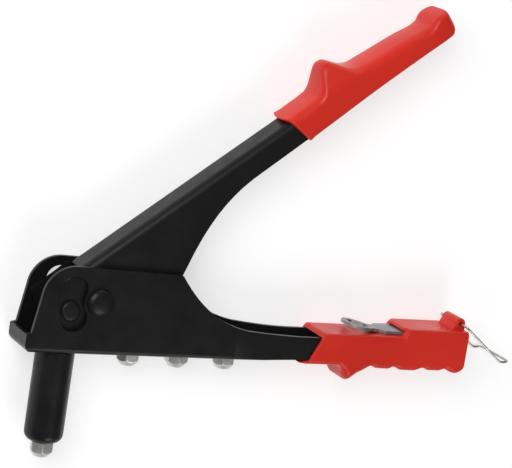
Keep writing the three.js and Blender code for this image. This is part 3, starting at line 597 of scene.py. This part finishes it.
def makeEar():
    # the bail's ear: rays from the bore's axis to an outline of a round top and two feet; each ray is one
    # closed loop over the far end, along the outline, over the near end and back through the bore
    e = ear
    a = np.linspace(0, 2 * np.pi, 72, endpoint=False)[:, None]
    c, s = np.cos(a), np.sin(a)
    down = (e["foot"] - e["y"]) / np.minimum(s, -1e-3)
    leg = e["radius"] + e["lead"] * ease(-s, 0.0, 0.75) * (c < 0)
    wall = leg / np.maximum(np.abs(c), 1e-3)
    reach = np.where(s < 0, np.minimum(down, wall), e["radius"] + 0 * a)
    q = np.linspace(0, np.pi / 2, 6)[None, :]
    roll = e["roll"]
    bore = e["bore"] + 0 * a
    half = e["half"]
    outward, inward = roll * np.sin(q), roll * np.cos(q)
    radius = np.concatenate([bore, reach - roll + outward, reach - roll + inward, bore], axis=1)
    level = [-half, -half + roll - inward, half - roll + outward, half]
    z = np.concatenate([h + 0 * a for h in level], axis=1)
    points = straight(e["x"] + radius * c, e["y"] + radius * s, z)
    return gridPiece("bail_ear", points, along=True, smooth=45)


def lathe(name, profile, at, sides=64, smooth=35):
    # a profile of (radius, height), both ends on the axis, turned about an axis across the tool
    r, h = np.array(profile, float).T
    a = np.linspace(0, 2 * np.pi, sides, endpoint=False)[None, :]
    points = straight(at[0] + r[:, None] * np.cos(a), at[1] + r[:, None] * np.sin(a), h[:, None] + 0 * a)
    return gridPiece(name, points[1:-1], capFirst=True, capLast=True, smooth=smooth, flip=True)


settle(makeEar(), "red_plastic", "frame")


# nosepieces
nosepieces = {
    "flats": 12.0, "bevelSlope": 0.8, "faceRadius": 4.0, "stud": 4.1,
    "each": {  # node: x, seat, height below the seat, stud above it, bore radius, turn
        "nosepiece_fitted": (-16.8, -83.7, 8.5, 7.4, 1.7, 15),
        "nosepiece_spare_1": (27.0, -30.3, 7.6, 8.0, 1.3, 0),
        "nosepiece_spare_2": (56.5, -30.3, 7.6, 8.0, 2.6, 30),
        "nosepiece_spare_3": (86.0, -30.3, 7.6, 8.0, 2.1, 0),
    },
}


def makeNosepiece(node, x, seat, height, stud, bore, turn):
    # radius as a function of angle and height: a hexagon's distance to its flat, cut by a bevel cone below
    # and a small one at the seat; then the stud, and the bore back down the middle
    p = nosepieces
    a = np.linspace(0, 2 * np.pi, 180, endpoint=False)[None, :] + np.radians(turn)
    local = (a - np.radians(turn) + np.pi / 6) % (np.pi / 3) - np.pi / 6
    hexagon = p["flats"] / 2 / np.cos(local)
    hexagon = hexagon - 0.12 * ease(np.abs(local), np.radians(26), np.radians(30))
    end = seat - height
    h = np.concatenate([
        [0, 0.12, 0.4],
        np.linspace(0.7, 4.2, 15),
        np.linspace(4.6, height - 0.9, 6),
        height - np.array([0.6, 0.35, 0.15, 0.0]),
    ])[:, None]
    cone = p["faceRadius"] - 0.25 * (h < 0.05) + p["bevelSlope"] * h
    seatCone = p["flats"] / 2 + 0.55 + (height - h) * 1.6
    side = np.minimum(np.minimum(hexagon, cone), seatCone)
    ring = [(side[i : i + 1], end + h[i, 0]) for i in range(len(h))]
    s = p["stud"]
    pitch = 0.45
    rings = range(int((stud - 1.4) / pitch))
    thread = [(np.full_like(a, s - 0.3 * (i % 2)), seat + 0.6 + pitch * i) for i in rings]
    foot = [(np.full_like(a, s), seat), (np.full_like(a, s), seat + 0.4)]
    top = foot + thread + [(np.full_like(a, s - 0.7), seat + stud), (np.full_like(a, bore), seat + stud)]
    rows = [(np.full_like(a, bore), end + 0.5), (np.full_like(a, bore + 0.5), end)] + ring + top
    radius = np.concatenate([r for r, _ in rows])
    level = np.array([y for _, y in rows])[:, None]
    points = straight(x + radius * np.sin(a), level, radius * np.cos(a))
    return gridPiece("bevelled_" + node, points, along=True, smooth=28, flip=True)


for node, size in nosepieces["each"].items():
    settle(makeNosepiece(node, *size), "nickel", "frame", node)
print("nosepieces made")


# rivet, pins and barrel
turnedPieces = {
    "rivet": {"radius": 5.0, "head": 7.8, "face": 13.6, "high": 17.2},
    "pin": {
        "orbit": 17.0, "angle": 200.4, "radius": 3.7, "head": 5.6,
        "seat": 10.9, "face": 13.0, "bevel": 0.85, "end": 4.2,
    },
}


def makeRivet():
    # far head: a flat button with a rolled edge; near head: a low dome, steep at its rim
    r = turnedPieces["rivet"]
    a = np.linspace(0, np.pi / 2, 12)
    tall = r["high"] - r["face"]
    dome = np.stack([r["head"] * np.cos(a) ** 0.72, r["face"] + tall * np.sin(a) ** 0.95], axis=-1)
    button = np.stack([r["head"] - 2.4 + 2.4 * np.sin(a), -r["face"] - tall * np.cos(a)], axis=-1)
    shank = [(r["radius"], -r["face"]), (r["radius"], r["face"])]
    crown = [(0.02, r["high"]), (0, r["high"])]
    profile = [(0, -r["high"]), *map(tuple, button), *shank, *map(tuple, dome[:-1]), *crown]
    return lathe("domed_rivet", profile, (0, 0), 72, smooth=50)


def makePin(name, side):
    p = turnedPieces["pin"]
    a = np.radians(p["angle"])
    at = (p["orbit"] * np.cos(a), p["orbit"] * np.sin(a))
    f, b = p["face"], p["bevel"]
    shank = [(0, p["end"]), (p["radius"], p["end"]), (p["radius"], p["seat"]), (p["head"], p["seat"])]
    chamfer = [
        (p["head"], f - b), (p["head"] - 0.08, f - b + 0.12),
        (p["head"] - b + 0.1, f - 0.1), (p["head"] - b - 0.1, f),
    ]
    profile = shank + chamfer + [(p["head"] * 0.5, f + 0.04), (0, f + 0.05)]
    if side < 0:
        profile = [(r, -h) for r, h in profile[::-1]]
    return lathe(name, profile, at, 64, smooth=30)


settle(makeRivet(), "black_paint", "frame", "pivot_rivet")
settle(makePin("slot_pin_near", 1), "black_paint", "handle", "trunnion_pin_near")
settle(makePin("slot_pin_far", -1), "black_paint", "handle", "trunnion_pin_far")
print("rivet and pins made")


# return spring
coil = {
    "x": -16.8, "from": -54.5, "to": -33.2, "radius": 7.4, "wire": 0.5, "turns": 6.5,
    "anchor": -32.5, "keep": 0.49,  # the end that stays put, and the share of its length left at full stroke
}


def makeReturnCoil():
    # a round wire carried along a helix whose pitch is a little finer at both ends
    k = coil
    u = np.linspace(0, 1, int(k["turns"] * 40))[:, None]
    turn = 2 * np.pi * k["turns"] * u
    a = np.linspace(0, 2 * np.pi, 12, endpoint=False)[None, :]
    rise = k["from"] + (k["to"] - k["from"]) * (0.25 * ease(u, 0, 1) + 0.75 * u)
    out = k["radius"] + k["wire"] * np.cos(a)
    points = straight(k["x"] + out * np.sin(turn), rise + k["wire"] * np.sin(a), out * np.cos(turn))
    return gridPiece("return_coil", points, capFirst=True, capLast=True, smooth=60)


returnCoil = settle(makeReturnCoil(), "spring_wire", "frame", "return_spring")
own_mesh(returnCoil)
print("return spring made")


# finished CAD nodes
edges = {
    "lower_frame": (0.45, 3, "black_paint"),
    "upper_handle": (0.45, 3, "black_paint"),
    "nose_barrel": (0.25, 2, "black_paint"),
    "barrel_lock_ring": (0.3, 2, "inner_steel"),
    "pivot_sleeve": (0.2, 2, "inner_steel"),
    "pull_head": (0.4, 2, "inner_steel"),
    "case_lock_nut": (0.2, 2, "inner_steel"),
    "jaw_case": (0.2, 2, "inner_steel"),
    "jaw_spring": (0, 0, "spring_wire"),
    "jaw_pusher": (0.2, 2, "inner_steel"),
    "jaw_1": (0, 0, "inner_steel"),
    "jaw_2": (0, 0, "inner_steel"),
    "jaw_3": (0, 0, "inner_steel"),
    "nosepiece_wrench": (0.3, 2, "stamped_steel"),
    "latch_bail": (0, 0, "spring_wire"),
}


def finishNode(name, width, segments, look):
    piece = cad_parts[name]
    for slot in piece.material_slots:
        slot.material = finish[look]
    if not piece.material_slots:
        piece.data.materials.append(finish[look])
    piece.data.polygons.foreach_set("use_smooth", np.ones(len(piece.data.polygons), bool))
    weld = piece.modifiers.new("weld", "WELD")
    weld.merge_threshold = 0.000005
    if width:
        flat = piece.modifiers.new("flat", "DECIMATE")
        flat.decimate_type = "DISSOLVE"
        flat.angle_limit = np.radians(0.6)
        bevel = piece.modifiers.new("edge", "BEVEL")
        bevel.width = width / 1000
        bevel.segments = segments
        bevel.limit_method = "ANGLE"
        bevel.angle_limit = np.radians(34)
        bevel.harden_normals = False
        bevel.miter_outer = "MITER_ARC"
    level = piece.modifiers.new("level", "WEIGHTED_NORMAL")
    level.weight = 60
    level.keep_sharp = False


for name, (width, segments, look) in edges.items():
    finishNode(name, width, segments, look)
print("carried-over nodes finished")
